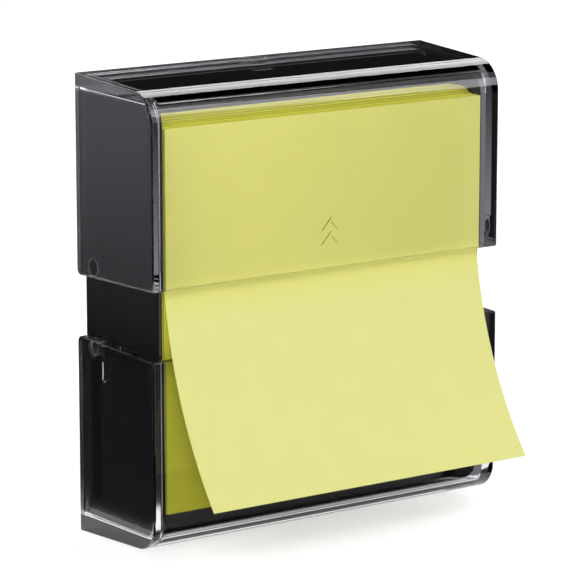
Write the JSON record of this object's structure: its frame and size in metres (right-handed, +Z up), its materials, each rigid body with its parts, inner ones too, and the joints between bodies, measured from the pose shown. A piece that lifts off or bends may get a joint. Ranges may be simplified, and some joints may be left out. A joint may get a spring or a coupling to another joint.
{
  "type": "memo pad holder",
  "caption": "Upright sticky note dispenser: a black core tray holds a square pad between an upper and a lower clear cover that slide apart, with a loose note hanging from the gap.",
  "frame": {"origin": "middle of the bounding box's base: X at the plane of symmetry, Y half way from the loose note's edge to the back plate, Z at the lower cover's lowest edge", "axes": "+Z up, +Y to the rear (the back plate's face), +X to the right seen from the front"},
  "size_m": [0.0846, 0.044, 0.0928],
  "materials": {
    "black_plastic": "black moulded plastic with a low gloss",
    "clear_plastic": "clear polished moulded plastic",
    "note_paper": "matt pale yellow note paper",
    "backing_card": "plain off-white backing card"
  },
  "bodies": {
    "core": {"core_tray": "black_plastic", "back_plate": "black_plastic", "note_pad": "note_paper", "pad_backing": "backing_card", "top_sheet": "note_paper"},
    "upper": {"upper_cover": "clear_plastic"},
    "lower": {"lower_cover": "clear_plastic"}
  },
  "joints": [
    {"name": "upper_cover_slide", "type": "slide", "parent": "core", "child": "upper", "axis": [0, 0, 1], "range_m": [0, 0.0292]},
    {"name": "lower_cover_slide", "type": "slide", "parent": "core", "child": "lower", "axis": [0, 0, -1], "range_m": [0, 0.0292]}
  ]
}
